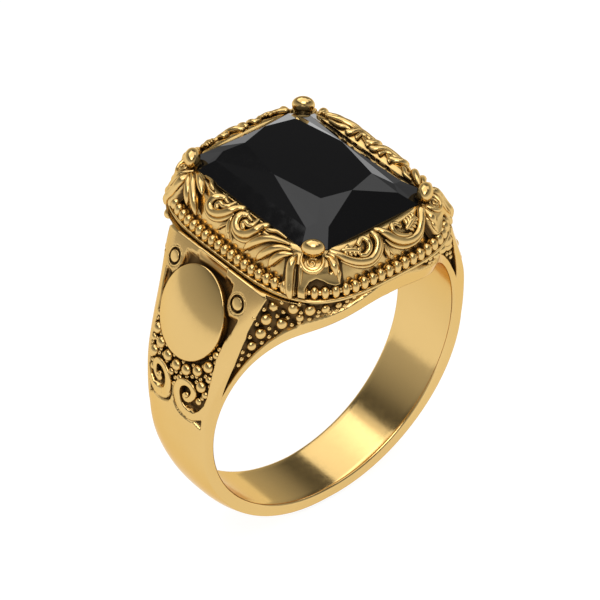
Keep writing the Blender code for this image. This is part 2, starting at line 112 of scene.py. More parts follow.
def spline(points, count, closed=False):
    """A smooth curve through points of any dimension, as count points."""
    points = np.array(points, float)
    last = len(points)
    steps = last if closed else last - 1
    t = np.linspace(0, steps, count, endpoint=not closed)
    index = np.minimum(t.astype(int), steps - 1)
    f = (t - index)[:, None]

    def at(k):
        return points[k % last] if closed else points[np.clip(k, 0, last - 1)]
    a, b, c, d = at(index - 1), at(index), at(index + 1), at(index + 2)
    return 0.5 * (2 * b + (c - a) * f + (2 * a - 5 * b + 4 * c - d) * f ** 2
                  + (3 * b - a - 3 * c + d) * f ** 3)


def to_segment(u, v, a, b):
    """Distance to a segment, and how far along it (0 to 1) the nearest point is."""
    du, dv = b[0] - a[0], b[1] - a[1]
    t = np.clip(((u - a[0]) * du + (v - a[1]) * dv) / (du * du + dv * dv + 1e-12), 0, 1)
    return np.hypot(u - a[0] - t * du, v - a[1] - t * dv), t


def inside(polygon, u, v):
    """Signed distance to a polygon's edge, positive inside."""
    nearest = np.full(np.shape(u), 1e9)
    within = np.zeros(np.shape(u), bool)
    for k, a in enumerate(polygon):
        b = polygon[(k + 1) % len(polygon)]
        nearest = np.minimum(nearest, to_segment(u, v, a, b)[0])
        spans = (a[1] > v) != (b[1] > v)
        rise = b[1] - a[1]
        if rise != 0:
            within ^= spans & (u < a[0] + (v - a[1]) / rise * (b[0] - a[0]))
    return np.where(within, nearest, -nearest)


def groove(path, widths, u, v):
    """Depth share (0 to 1) of an engraved line; widths are its half widths at both ends."""
    deepest = np.zeros(np.shape(u))
    steps = len(path) - 1
    for k in range(steps):
        away, t = to_segment(u, v, path[k], path[k + 1])
        half = widths[0] + (widths[1] - widths[0]) * (k + t) / steps
        deepest = np.maximum(deepest, 1 - ease(0.25 * half, half + 0.03, away))
    return deepest


# ---------------------------------------------------------------- the shank's surfaces
def ring_point(side, radius, angle, y):
    turn = np.radians(angle)
    x = side * radius * np.cos(turn)
    z = CENTRE_Z + radius * np.sin(turn)
    return np.stack(np.broadcast_arrays(x, y, z), -1)


def outer_radius(angle):
    over = HEAD_BASE / np.sin(np.radians(np.maximum(angle, TOP_ANGLE)))
    return np.where(angle > TOP_ANGLE, over, smooth(OUTER_RADIUS, angle))


def outer_half_width(angle):
    x = HEAD_BASE / np.tan(np.radians(np.maximum(angle, TOP_ANGLE)))
    reach = np.maximum(1 - (x / BASE_HALF[0]) ** HEAD_CORNER, 0)
    over = BASE_HALF[1] * reach ** (1 / HEAD_CORNER)
    return np.where(angle > TOP_ANGLE, over, smooth(OUTER_HALF_WIDTH, angle))


def edge_drop(angle):
    """How far the outer face's rounded edges lie below its middle."""
    return smooth(EDGE_DROP, angle) * (angle < TOP_ANGLE + 1e-6)


def face_size(angle):
    """Radial rise, lean and length of the front face between the finger hole and its edge."""
    rise = outer_radius(angle) - edge_drop(angle) - BORE_R
    lean = outer_half_width(angle) - smooth(BORE_HALF_WIDTH, angle)
    return rise, lean, np.hypot(rise, lean)


def front_point(side, face, angle, across, height):
    """On a front or back face, across in mm from the finger hole's edge."""
    rise, lean, length = face_size(angle)
    radius = BORE_R + (rise * across - height * lean) / length
    y = smooth(BORE_HALF_WIDTH, angle) + (lean * across + height * rise) / length
    return ring_point(side, radius, angle, face * y)


def outer_point(side, angle, y, height):
    """On the crowned outer face, whose edges are rounded towards the head."""
    share = np.minimum(np.abs(y) / outer_half_width(angle), 1.0)
    crown = smooth(CROWN, angle) * (1 - share ** 2.6) * (angle < TOP_ANGLE + 1e-6)
    rounded = edge_drop(angle) * np.clip((share - EDGE_START) / (1 - EDGE_START), 0, 1) ** 1.5
    return ring_point(side, outer_radius(angle) + crown - rounded + height, angle, y)


def climb_table():
    """Length along the outer face against angle, 0 at angle 0."""
    angles = np.linspace(-90, TOP_ANGLE, 1500)
    radii = outer_radius(angles)
    steps = np.hypot(np.diff(radii), np.radians(np.diff(angles)) * (radii[1:] + radii[:-1]) / 2)
    lengths = np.concatenate([[0.0], np.cumsum(steps)])
    return angles, lengths - np.interp(0, angles, lengths)


CLIMB_ANGLES, CLIMB_LENGTHS = climb_table()


def climb(angle):
    return np.interp(angle, CLIMB_ANGLES, CLIMB_LENGTHS)


def angle_at(length):
    return np.interp(length, CLIMB_LENGTHS, CLIMB_ANGLES)


def climbed(points):
    """(y, angle) pairs as (y, length up the outer face)."""
    return [(y, float(climb(angle))) for y, angle in points]


# ---------------------------------------------------------------- relief cut into the shank
OUTER_RECESS = [(-1, 17.9), (0.05, 17.9), (0.30, 17.3), (0.42, 16.2), (0.45, 14.6), (0.78, 14.3),
                (0.90, 13.2), (1.18, 12.2), (1.62, 11.5), (2.14, 11.8), (2.56, 13.8),
                (2.92, 16.8), (3.06, 20), (3.12, 26), (3.13, 34), (3.30, 40), (3.58, 44),
                (3.72, 47), (3.84, 50), (3.90, 57.0), (-1, 57.0)]
EAR = [(1.42, 58.5), (1.48, 55.6), (2.40, 54.9), (2.50, 53.0), (2.42, 51.0), (2.58, 48.8),
       (2.95, 47.5), (3.4, 48.0), (4.1, 48.2), (4.3, 50), (4.3, 58.5)]
EAR_STAIN = [(1.4, 59), (1.4, 54), (2.3, 50.5), (2.5, 46.5), (3.7, 45.5), (4.3, 50), (5.1, 59)]
TOP_PLATE = [(-1, 54.8), (1.42, 54.8), (1.42, 58.5), (-1, 58.5)]
SPIRAL_GROOVE = [(0.16, 16.2), (0.13, 13.6), (0.24, 11.4), (0.50, 9.7), (0.90, 8.6), (1.45, 8.0)]
LOWER_LINE = [(1.45, 7.9), (1.95, 8.0), (2.35, 8.6)]
NOTCH = [(1.95, 8.3), (2.80, 10.7), (2.70, 6.2)]
FRONT_RECESS = [(20.3, 0.50), (25, 0.74), (30, 0.98), (35, 1.26), (40, 1.70), (45, 2.22),
                (50, 2.86), (54, 3.46), (57.0, 4.05), (57.6, 6.0), (87, 6.0), (86.5, 1.95),
                (83, 1.62), (78, 1.30), (72, 1.14), (65, 1.10), (60.5, 0.98), (57.6, 0.86),
                (54, 0.80), (48, 0.70), (40, 0.55), (30, 0.46)]


def outer_relief(angle, y):
    """Height of the outer face's relief (negative is cut in) and its share of patina."""
    u = np.abs(y)
    v = climb(angle)
    recess = ease(-0.01, 0.13, inside(climbed(OUTER_RECESS), u, v))
    ear = ease(-0.10, 0.03, inside(climbed(EAR), u, v))
    plate = ease(-0.05, 0.05, inside(climbed(TOP_PLATE), u, v))
    floor = recess * (1 - ear)
    depth = floor * (RECESS_DEPTH - 0.24 * plate)
    from_stud = np.hypot(u - STUD_Y, v - climb(STUD_ANGLE))
    ring = 1 - ease(0.08, 0.13, np.abs(from_stud - STUD_GROOVE))
    spiral = groove(climbed(SPIRAL_GROOVE), (0.15, 0.04), u, v)
    lower = groove(climbed(LOWER_LINE), (0.04, 0.06), u, v)
    notch = ease(-0.02, 0.12, inside(climbed(NOTCH), u, v))
    for line in (0.32 * ring, 0.30 * spiral, 0.16 * lower, 0.34 * notch):
        depth = np.maximum(depth, line)
    depth = np.where(angle > TOP_ANGLE - 0.2, 0.0, depth)
    stained = 0.50 * ease(-0.35, 0.25, inside(climbed(EAR_STAIN), u, v))
    dirt = np.clip(floor * (1 - 0.30 * plate) + ring + 0.90 * spiral + 1.02 * notch,
                   stained, 1)
    return -depth, np.where(angle > TOP_ANGLE - 0.2, 0.0, dirt)


def front_relief(angle, across):
    """As outer_relief, for the triangular recess on a front or back face."""
    u = np.broadcast_to(angle * FRONT_SCALE, across.shape)
    outline = [(a * FRONT_SCALE, b) for a, b in FRONT_RECESS]
    cut = ease(-0.01, 0.13, inside(outline, u, across))
    return -RECESS_DEPTH * cut, cut


# ---------------------------------------------------------------- mesh building
class Shape:
    """Collects closed parts, in mm, for one piece."""

    def __init__(self):
        self.points, self.faces, self.dirt, self.count = [], [], [], 0

    def add(self, points, faces, dirt=0.0):
        points = np.asarray(points, float).reshape(-1, 3)
        self.points.append(points)
        self.faces += [[index + self.count for index in face] for face in faces]
        self.dirt.append(np.broadcast_to(dirt, (len(points),)).astype(float))
        self.count += len(points)


def grid_faces(rows, cols, rows_closed=False, cols_closed=True):
    i = np.arange(rows if rows_closed else rows - 1)[:, None]
    j = np.arange(cols if cols_closed else cols - 1)[None, :]
    after_i, after_j = (i + 1) % rows, (j + 1) % cols
    corners = np.broadcast_arrays(i * cols + j, i * cols + after_j,
                                  after_i * cols + after_j, after_i * cols + j)
    return np.stack(corners, -1).reshape(-1, 4).tolist()


def skin(shape, rings, rows_closed=False, dirt=0.0):
    """Joins rings of points; open ends are capped."""
    rings = np.asarray(rings, float)
    rows, cols = rings.shape[:2]
    faces = grid_faces(rows, cols, rows_closed)
    if not rows_closed:
        faces.append(list(range(cols))[::-1])
        faces.append([(rows - 1) * cols + j for j in range(cols)])
    shape.add(rings.reshape(-1, 3), faces, dirt)


def circle(count):
    """Angles of count even steps round a circle."""
    return np.arange(count) * 2 * math.pi / count


def unit(vectors):
    return vectors / np.maximum(np.linalg.norm(vectors, axis=-1, keepdims=True), 1e-12)


def sweep(shape, centres, ups, radii, flatness=1.0, sides=12):
    """A bar along centres with rounded ends; ups point away from the surface it lies on."""
    centres, ups = np.asarray(centres, float), np.asarray(ups, float)
    radii = np.broadcast_to(radii, (len(centres),)).astype(float)
    ahead = unit(np.gradient(centres, axis=0))
    across = unit(np.cross(ahead, ups))
    ups = np.cross(across, ahead)
    turns = circle(sides)

    def cap(end, way):
        rings = []
        for lean in np.radians((80, 58, 35, 15)):
            middle = centres[end] + way * ahead[end] * radii[end] * math.sin(lean)
            rings.append((middle, radii[end] * math.cos(lean), end))
        return rings
    body = list(zip(centres, radii, range(len(centres))))
    made = []
    for middle, radius, k in cap(0, -1) + body + cap(-1, 1)[::-1]:
        arm = (across[k] * np.cos(turns)[:, None]
               + ups[k] * flatness * np.sin(turns)[:, None])
        made.append(middle + arm * radius)
    skin(shape, made)


def sphere_template(level):
    builder = bmesh.new()
    bmesh.ops.create_icosphere(builder, subdivisions=level, radius=1.0)
    points = np.array([vert.co[:] for vert in builder.verts])
    faces = [[vert.index for vert in face.verts] for face in builder.faces]
    builder.free()
    return points, faces


SPHERES = {level: sphere_template(level) for level in (2, 3, 4)}


def ball(shape, centre, radii, axes=np.eye(3), level=3):
    """An ellipsoid; axes holds its three directions as rows."""
    points, faces = SPHERES[level]
    shape.add(np.asarray(centre) + (points * radii) @ np.asarray(axes), faces)


def make_piece(name, shape, finish, nodes, flat=False):
    """One shown piece from a shape, riding on the ring and standing for its CAD nodes."""
    mesh = bpy.data.meshes.new(name)
    mesh.from_pydata((np.concatenate(shape.points) * MM).tolist(), [], shape.faces)
    patina = mesh.attributes.new("patina", "FLOAT", "POINT")
    patina.data.foreach_set("value", np.concatenate(shape.dirt).astype(np.float32))
    builder = bmesh.new()
    builder.from_mesh(mesh)
    if flat:
        bmesh.ops.remove_doubles(builder, verts=builder.verts, dist=0.000004)
    bmesh.ops.recalc_face_normals(builder, faces=builder.faces)
    builder.to_mesh(mesh)
    builder.free()
    if not flat:
        mesh.shade_smooth()
    mesh.materials.append(finish)
    piece = bpy.data.objects.new(name, mesh)
    bpy.context.scene.collection.objects.link(piece)
    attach(piece, "root")
    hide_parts(*nodes)


# ---------------------------------------------------------------- materials
def new_material(name):
    made = bpy.data.materials.new(name)
    made.use_nodes = True
    return made, made.node_tree.nodes, made.node_tree.links


def add_node(nodes, kind, **settings):
    node = nodes.new(kind)
    for key, value in settings.items():
        if key in node.inputs:
            node.inputs[key].default_value = value
        else:
            setattr(node, key, value)
    return node


def mix_colour(nodes, links, factor, first, second):
    """A colour mix; each colour is a value or a socket."""
    mix = nodes.new("ShaderNodeMix")
    mix.data_type = "RGBA"
    links.new(factor, mix.inputs["Factor"])
    for socket, value in ((mix.inputs[6], first), (mix.inputs[7], second)):
        if isinstance(value, tuple):
            socket.default_value = (*value, 1.0)
        else:
            links.new(value, socket)
    return mix.outputs[2]


def remap(nodes, links, value, from_low, from_high, to_low, to_high):
    node = nodes.new("ShaderNodeMapRange")
    node.interpolation_type = "SMOOTHSTEP"
    for key, number in (("From Min", from_low), ("From Max", from_high),
                        ("To Min", to_low), ("To Max", to_high)):
        node.inputs[key].default_value = number
    links.new(value, node.inputs["Value"])
    return node.outputs["Result"]


GOLD = ((0.75, 0.515, 0.205), (0.69, 0.465, 0.175))     # two tones that drift into each other
GOLD_EDGE = (0.90, 0.74, 0.50, 1.0)
TARNISH = (0.34, 0.19, 0.065)
DEEP_TARNISH = (0.100, 0.060, 0.024)
STONE = ((0.0022, 0.0022, 0.0025), (0.0040, 0.0039, 0.0042))


def noise(nodes, links, **settings):
    """A noise texture that is fixed to the piece, as a socket."""
    made = add_node(nodes, "ShaderNodeTexNoise", **settings)
    place = nodes.new("ShaderNodeTexCoord")
    links.new(place.outputs["Object"], made.inputs["Vector"])
    return made.outputs["Fac"]


def multiply_add(nodes, links, value, factor, more):
    node = add_node(nodes, "ShaderNodeMath", operation="MULTIPLY_ADD")
    links.new(value, node.inputs[0])
    node.inputs[1].default_value = factor
    links.new(more, node.inputs[2])
    return node.outputs[0]


def gold(name, polish, worn):
    """Yellow gold: bright where it is proud, dark brown where it is sheltered."""
    made, nodes, links = new_material(name)
    shader = nodes["Principled BSDF"]
    near = add_node(nodes, "ShaderNodeAmbientOcclusion", samples=6, Distance=0.0006)
    shelter = remap(nodes, links, near.outputs["AO"], 0.12, 0.78, 1.0, 0.0)
    painted = add_node(nodes, "ShaderNodeAttribute", attribute_name="patina")
    both = multiply_add(nodes, links, painted.outputs["Fac"], 0.78, shelter)
    blotch = noise(nodes, links, Scale=900.0, Detail=4.0, Roughness=0.6)
    uneven = multiply_add(nodes, links, blotch, 0.30 * worn, both)
    dark = remap(nodes, links, uneven, 0.15 * worn + 0.10, 1.05, 0.0, 1.0)

    tone = noise(nodes, links, Scale=160.0, Detail=3.0)
    clean = mix_colour(nodes, links, tone, *GOLD)
    tarnish = mix_colour(nodes, links, dark, clean, TARNISH)
    deep = remap(nodes, links, dark, 0.45, 1.0, 0.0, 1.0)
    colour = mix_colour(nodes, links, deep, tarnish, DEEP_TARNISH)
    links.new(colour, shader.inputs["Base Color"])
    shader.inputs["Metallic"].default_value = 1.0
    shader.inputs["Specular Tint"].default_value = GOLD_EDGE

    scratches = noise(nodes, links, Scale=2600.0, Detail=6.0, Roughness=0.7)
    haze = remap(nodes, links, scratches, 0.3, 0.7, polish, polish + 0.06)
    rough = multiply_add(nodes, links, dark, 0.42, haze)
    links.new(rough, shader.inputs["Roughness"])

    waves = noise(nodes, links, Scale=420.0, Detail=5.0, Roughness=0.55)
    bump = add_node(nodes, "ShaderNodeBump", Strength=0.12 + 0.25 * worn, Distance=0.00002)
    links.new(waves, bump.inputs["Height"])
    links.new(bump.outputs["Normal"], shader.inputs["Normal"])
    return made


def black_stone(name):
    """Opaque black glassy stone with sharp facets."""
    made, nodes, links = new_material(name)
    shader = nodes["Principled BSDF"]
    cloud = noise(nodes, links, Scale=220.0, Detail=4.0)
    links.new(mix_colour(nodes, links, cloud, *STONE), shader.inputs["Base Color"])
    wear = noise(nodes, links, Scale=1500.0, Detail=5.0)
    links.new(remap(nodes, links, wear, 0.35, 0.75, 0.03, 0.07), shader.inputs["Roughness"])
    shader.inputs["IOR"].default_value = 1.52
    return made


# ---------------------------------------------------------------- shank
def shank_rows():
    """Angles of the shank's sections, close together where the relief is."""
    band = np.linspace(-90, 2, 38, endpoint=False)
    shoulder = np.linspace(2, TOP_ANGLE, 132, endpoint=False)
    under_head = np.linspace(TOP_ANGLE, 90, 46)
    return np.concatenate([band, shoulder, under_head])


def half_section(side, angle):
    """Points and patina from the middle of the finger hole's wall to the middle of the outer
    face, for an array of angles."""
    angle = angle[:, None]
    inner_y = smooth(BORE_HALF_WIDTH, angle)
    length = face_size(angle)[2]
    wall = ring_point(side, BORE_R, angle, (inner_y - BORE_CORNER) * np.linspace(0, 1, 8))
    lean = np.radians([22.0, 45.0, 68.0])
    rounded = ring_point(side, BORE_R + BORE_CORNER * (1 - np.cos(lean)), angle,
                         inner_y - BORE_CORNER * (1 - np.sin(lean)))
    across = BORE_CORNER + (length - BORE_CORNER - 0.05) * np.linspace(0, 1, 38)
    cut, front_dirt = front_relief(angle, across)
    front = front_point(side, 1, angle, across, cut)
    y = outer_half_width(angle) * np.linspace(0.985, 0, 60)
    wide = np.broadcast_to(angle, y.shape)
    raised, outer_dirt = outer_relief(wide, y)
    outer = outer_point(side, wide, y, raised)
    points = np.concatenate([wall, rounded, front, outer], 1)
    clean = np.zeros((len(angle), wall.shape[1] + rounded.shape[1]))
    return points, np.concatenate([clean, front_dirt, outer_dirt], 1)


def build_shank(finish):
    """One closed skin: down one side of the ring and up the other."""
    rows, stains = [], []
    for side in (1, -1):
        angles = shank_rows() if side > 0 else shank_rows()[::-1][1:-1]
        half, dirt = half_section(side, angles)
        mirrored = half[:, ::-1][:, 1:-1] * (1, -1, 1)
        rows.append(np.concatenate([half, mirrored], 1))
        stains.append(np.concatenate([dirt, dirt[:, ::-1][:, 1:-1]], 1))
    shape = Shape()
    skin(shape, np.concatenate(rows), rows_closed=True, dirt=np.concatenate(stains).ravel())
    make_piece("ring_shank", shape, finish, ["shank"])


# ---------------------------------------------------------------- shoulders
BIG, MIDDLE, SMALL = 0.405, 0.265, 0.172
# (y, angle) of the grains of each radius; those off the middle have a mirrored twin.
OUTER_GRANULES = (
    (BIG, ((0, 24.3), (0.97, 25.1), (1.92, 27.2), (2.66, 30.4), (2.48, 22.9))),
    (MIDDLE, ((2.95, 35.2), (2.9, 26.6), (0.45, 20.6), (2.82, 20.8), (2.4, 17.2))),
    (SMALL, ((0.48, 26.5), (1.4, 27.7), (0.5, 22.7), (0, 21.8), (1.52, 24.0), (1.97, 23.2),
             (1.08, 22.7), (2.22, 29.5), (2.6, 33.4), (3.02, 37.4), (3.04, 32.9),
             (2.58, 26.9), (2.62, 18.9), (2.25, 24.9), (0, 19.5), (0.74, 19.8), (1.88, 25.0),
             (2.96, 29.0), (3.02, 24.4))))
# (angle, mm across the face) of the grains of each radius.
FRONT_GRANULES = (
    (BIG, ((57.6, 3.00), (60.4, 2.86), (63.2, 2.46), (53.3, 2.52), (55.4, 1.62),
           (48.9, 1.76))),
    (0.34, ((43.8, 1.34),)),
    (0.32, ((66.7, 2.12),)),
    (0.3, ((60.2, 1.72),)),
    (0.24, ((70.4, 1.90),)),
    (SMALL, ((73.2, 1.84), (75.6, 1.86), (55, 3.26), (59.4, 3.46), (58.2, 2.36),
             (56.1, 2.28), (57.9, 1.74), (62, 3.22), (61.2, 2.24), (61.9, 1.34),
             (64.2, 1.50), (64.9, 1.92), (67.4, 1.50), (69.6, 1.34), (50.5, 2.52),
             (51.7, 1.66), (57.2, 1.12), (52, 1.10), (46, 1.98), (49.5, 1.04), (46.4, 0.96),
             (40.4, 1.42), (40.3, 0.82), (38, 1.04), (35.4, 0.86), (51.4, 3.06),
             (59.2, 1.16), (72.2, 1.42))))
GRANULE_LIFT = -0.26
GRANULE_HEIGHT = 0.80             # as a share of the radius


def granule(shape, radius, surface, *where):
    """A slightly flattened grain of gold that stands on a surface's recess."""
    centre = surface(*where, GRANULE_LIFT + 0.35 * radius)
    away = unit(surface(*where, 1.0) - surface(*where, 0.0))
    other = unit(np.cross(away, (0.3, 0.9, 0.2)))
    axes = np.stack([other, np.cross(away, other), away])
    ball(shape, centre, (radius, radius, radius * GRANULE_HEIGHT), axes,
         level=3 if radius > 0.2 else 2)


def build_granules(finish):
    for shoulder, side in SHOULDERS:
        shape = Shape()
        for radius, places in OUTER_GRANULES:
            for y, angle in places:
                for face in ((1,) if y == 0 else (-1, 1)):
                    granule(shape, radius, outer_point, side, angle, face * y)
        make_piece(f"granules_outer_{shoulder}", shape, finish,
                   [f"granule_panel_outer_{shoulder}"])
        for face_name, face in FACES:
            shape = Shape()
            for radius, places in FRONT_GRANULES:
                for angle, across in places:
                    granule(shape, radius, front_point, side, face, angle, across)
            make_piece(f"granules_{face_name}_{shoulder}", shape, finish,
                       [f"granule_panel_{face_name}_{shoulder}"])


OVAL_PROFILE = ((1.0, -0.50), (1.0, -0.1), (1.0, 0.12), (0.994, 0.18), (0.98, 0.215),
                (0.955, 0.24), (0.90, 0.29), (0.80, 0.37), (0.65, 0.465), (0.48, 0.545),
                (0.30, 0.60), (0.15, 0.625), (0.05, 0.63))


def build_ovals(finish):
    """A low polished dome on each shoulder, with a rounded rim."""
    turns = circle(96)
    for shoulder, side in SHOULDERS:
        rings = []
        for share, lift in OVAL_PROFILE:
            angle = angle_at(climb(OVAL_ANGLE) + OVAL_HALF[0] * share * np.cos(turns))
            rings.append(outer_point(side, angle, OVAL_HALF[1] * share * np.sin(turns), lift))
        shape = Shape()
        skin(shape, rings)
        make_piece(f"oval_medallion_{shoulder}", shape, finish,
                   [f"oval_boss_{shoulder}"])


COLLAR_PROFILE = ((0.60, -0.34), (0.60, 0.0), (0.62, 0.02), (0.68, 0.015), (0.71, -0.02),
                  (0.71, -0.34))
STUD_PROFILE = ((0.42, -0.36), (0.42, -0.04), (0.405, 0.01), (0.37, 0.035), (0.30, 0.045),
                (0.16, 0.05), (0.03, 0.05))


def stud_rings(side, face, profile):
    """A ring of points around a stud's centre for each (reach, lift) of a profile."""
    turns = circle(40)
    rings = []
    for reach, lift in profile:
        angle = angle_at(climb(STUD_ANGLE) + reach * np.cos(turns))
        y = face * (STUD_Y + reach * np.sin(turns))
        rings.append(outer_point(side, angle, y, lift))
    return np.array(rings)


def build_ears(finish):
    """A fine collar around the groove of each stud, and the stud's rounded head."""
    for corner, side, face in CORNERS:
        shape = Shape()
        collar = stud_rings(side, face, COLLAR_PROFILE)
        skin(shape, collar.swapaxes(0, 1), rows_closed=True)
        make_piece(f"ear_collar_{corner}", shape, finish,
                   [f"ear_plate_{corner}"])
        shape = Shape()
        skin(shape, stud_rings(side, face, STUD_PROFILE))
        make_piece(f"stud_head_{corner}", shape, finish, [f"stud_{corner}"])


SPIRAL_PATH = ((1.15, 10.6), (0.74, 12.2), (0.52, 14.3), (0.46, 16.7), (0.58, 18.8), (0.86, 20.3),
               (1.22, 21.2), (1.62, 21.3), (1.92, 20.5), (2.04, 19.1), (1.95, 17.5), (1.72, 16.1),
               (1.44, 15.6), (1.28, 16.3), (1.42, 17.1))
SPIRAL_HALF_WIDTH = ((0, 0.34), (0.2, 0.29), (0.4, 0.24), (0.6, 0.22), (0.85, 0.17), (1, 0.19))
SPIRAL_SECTION = ((-1.0, -0.45), (-1.0, -0.09), (-0.93, -0.03), (-0.75, 0.0), (0.0, 0.03),
                  (0.75, 0.0), (0.93, -0.03), (1.0, -0.09), (1.0, -0.45))


def build_spirals(finish):
    """Flat wire scrolls at the foot of each shoulder's field, with a ball in the eye."""
    path = spline(climbed(SPIRAL_PATH), 90)
    share = np.linspace(0, 1, len(path))
    half = smooth(SPIRAL_HALF_WIDTH, share)
    top = 0.03 + 0.07 * ease(0.02, 0.30, share) - 0.05 * ease(0.0, 0.12, 0.12 - share)
    ahead = unit(np.gradient(path, axis=0))
    across = np.stack([-ahead[:, 1], ahead[:, 0]], 1)
    eye = path[-1]
    for corner, side, face in CORNERS:
        rings = []
        for reach, lift in SPIRAL_SECTION:
            flat = path + across * (half * reach)[:, None]
            rings.append(outer_point(side, angle_at(flat[:, 1]), face * flat[:, 0], top + lift))
        shape = Shape()
        skin(shape, np.stack(rings, 1))
        ball(shape, outer_point(side, angle_at(eye[1]), face * eye[0], -0.10),
             (0.22, 0.22, 0.22))
        make_piece(f"spiral_{corner}", shape, finish,
                   [f"shoulder_spiral_{corner}"])


# ---------------------------------------------------------------- around the head
def outline(turn, half, corner=HEAD_CORNER):
    """x and y on the head's outline (a rectangle with rounded sides and corners)."""
    c, s = np.cos(turn), np.sin(turn)
    x = half[0] * np.sign(c) * np.abs(c) ** (2 / corner)
    y = half[1] * np.sign(s) * np.abs(s) ** (2 / corner)
    return x, y


def turn_table(half, count):
    """Parameter angle against distance around an outline of the head."""
    turns = np.linspace(0, 2 * math.pi, count)
    x, y = outline(turns, half)
    lengths = np.concatenate([[0.0], np.cumsum(np.hypot(np.diff(x), np.diff(y)))])
    return turns, lengths


# Distances around the rim run from the middle of the left side towards the front.
RIM_TURNS, RIM_LENGTHS = turn_table((6.60, 8.05), 14401)
RIM = RIM_LENGTHS[-1]
QUARTER = RIM / 4
# The scrolls' ground: the climb up it, half width, half length, height and sideways slant. The
# slant counts by a share that depends on the place around the rim.
GROUND = ((12.0, 7.00, 8.42, 12.00, 0.0), (13.2, 6.80, 8.22, 13.20, 0.0),
          (13.8, 6.65, 8.07, 13.79, 0.02), (14.5, 6.37, 7.78, 14.44, 0.10),
          (15.0, 6.01, 7.40, 14.85, 0.24), (15.2, 5.78, 7.15, 14.93, 0.44),
          (15.5, 5.36, 6.69, 14.97, 0.86), (15.8, 4.95, 6.23, 15.04, 1.22))
CLIMB_HALF_X, CLIMB_HALF_Y, CLIMB_HEIGHT, SLANT = (
    [(row[0], row[column]) for row in GROUND] for column in (1, 2, 3, 4))
SLANT_SHARE = ((0, -0.608), (4.4, -0.56), (7.0, 0.0), (9.0, 0.45), (12.62, 0.495), (15.5, 0.495),
               (20.0, 0.0), (25.24, -0.608))


def rim_point(along, climbing, height=0.0):
    """On the leaning ground of the scrolls: along is in mm around the rim, climbing upwards."""
    share = smooth(SLANT_SHARE, np.mod(along, 2 * QUARTER))
    turn = np.interp(np.mod(along + share * smooth(SLANT, climbing), RIM), RIM_LENGTHS, RIM_TURNS)
    x, y = outline(turn, (smooth(CLIMB_HALF_X, climbing) + height,
                          smooth(CLIMB_HALF_Y, climbing) + height))
    return np.stack(np.broadcast_arrays(-x, -y, smooth(CLIMB_HEIGHT, climbing) + CENTRE_Z), -1)


def rim_normal(along, climbing):
    """The way straight out of the scrolls' ground."""
    step = 0.03
    run = rim_point(along + step, climbing) - rim_point(along - step, climbing)
    rise = rim_point(along, climbing + step) - rim_point(along, climbing - step)
    normal = unit(np.cross(run, rise))
    outward = rim_point(along, climbing, 0.1) - rim_point(along, climbing)
    return normal * np.sign(np.sum(normal * outward, -1, keepdims=True))


VINE_THICKNESS = 1.16


def vine(shape, start, points, radii, height=0.0, flatness=1.0, steps=None):
    """A bar on the rim through (along, climbing) points; start shifts it around the rim."""
    steps = steps or 7 * len(points)
    path = spline(points, steps)
    share = np.linspace(0, 1, steps)
    radii = [(i / (len(radii) - 1), radius) for i, radius in enumerate(radii)]
    normals = rim_normal(start + path[:, 0], path[:, 1])
    centres = rim_point(start + path[:, 0], path[:, 1]) + normals * height
    sweep(shape, centres, normals, VINE_THICKNESS * smooth(radii, share), flatness)


EVEN_STEPS = np.interp(np.arange(420) * RIM / 420, RIM_LENGTHS, RIM_TURNS)


def band_around(shape, section, turns=EVEN_STEPS, corner=HEAD_CORNER):
    """A closed band around the head: section holds (half width, half length, height) triples."""
    columns = []
    for half_x, half_y, z in section:
        x, y = outline(turns, (half_x, half_y), corner)
        columns.append(np.stack([x, y, np.full(len(turns), z + CENTRE_Z)], -1))
    skin(shape, np.stack(columns, 1), rows_closed=True)


def build_rail(finish):
    low, high = RAIL_HEIGHTS
    section = ((-0.90, low), (-0.05, low), (0.0, low + 0.05), (0.0, high - 0.05),
               (-0.05, high), (-0.90, high))
    shape = Shape()
    band_around(shape, [(RAIL_HALF[0] + out, RAIL_HALF[1] + out, z) for out, z in section])
    make_piece("rail_under_beads", shape, finish, ["gallery_rail"])


def build_beads(finish):
    """Evenly spaced beads, threaded on a thin wire."""
    shape = Shape()
    turns, lengths = turn_table(BEAD_HALF, 7201)
    for k in range(BEAD_COUNT):
        turn = np.interp(lengths[-1] * (k + 0.5) / BEAD_COUNT, lengths, turns)
        here = np.array([*outline(turn, BEAD_HALF), 0])
        ahead = unit(np.array([*outline(turn + 0.002, BEAD_HALF), 0]) - here)
        away = np.array([ahead[1], -ahead[0], 0])
        axes = np.stack([ahead, away, (0, 0, 1)])
        ball(shape, here + (0, 0, CENTRE_Z + BEAD_Z), BEAD_SIZE, axes)
    wire = []
    for lean in circle(10):
        out = 0.20 * math.cos(lean)
        wire.append((BEAD_HALF[0] + out, BEAD_HALF[1] + out, BEAD_Z + 0.20 * math.sin(lean)))
    band_around(shape, wire)
    make_piece("beaded_wire", shape, finish, ["bead_wire"])


COVE_LOW, COVE_HIGH = 12.9, 15.6
WALL_FOOT = [(7.00, 8.42, 12.24), (6.95, 8.36, 12.60)]
WALL_INSIDE = [(4.98, 6.30, 14.60), (5.18, 6.50, 14.20), (5.18, 6.50, 12.24)]


def build_wall(finish):
    """A cove just under the scrolls' ground, with a straight wall inside."""
    cove = []
    for climbing in np.linspace(COVE_LOW, COVE_HIGH, 24):
        sunk = 0.12 + 0.14 * math.sin(math.pi * (climbing - COVE_LOW) / (COVE_HIGH - COVE_LOW))
        dip = 0.3 * sunk + 0.9 * max(climbing - 15.2, 0) ** 1.5
        cove.append((float(smooth(CLIMB_HALF_X, climbing)) - sunk,
                     float(smooth(CLIMB_HALF_Y, climbing)) - sunk,
                     float(smooth(CLIMB_HEIGHT, climbing)) - dip))
    shape = Shape()
    band_around(shape, WALL_FOOT + cove + WALL_INSIDE)
    make_piece("cove_wall", shape, finish, ["bezel_wall"])


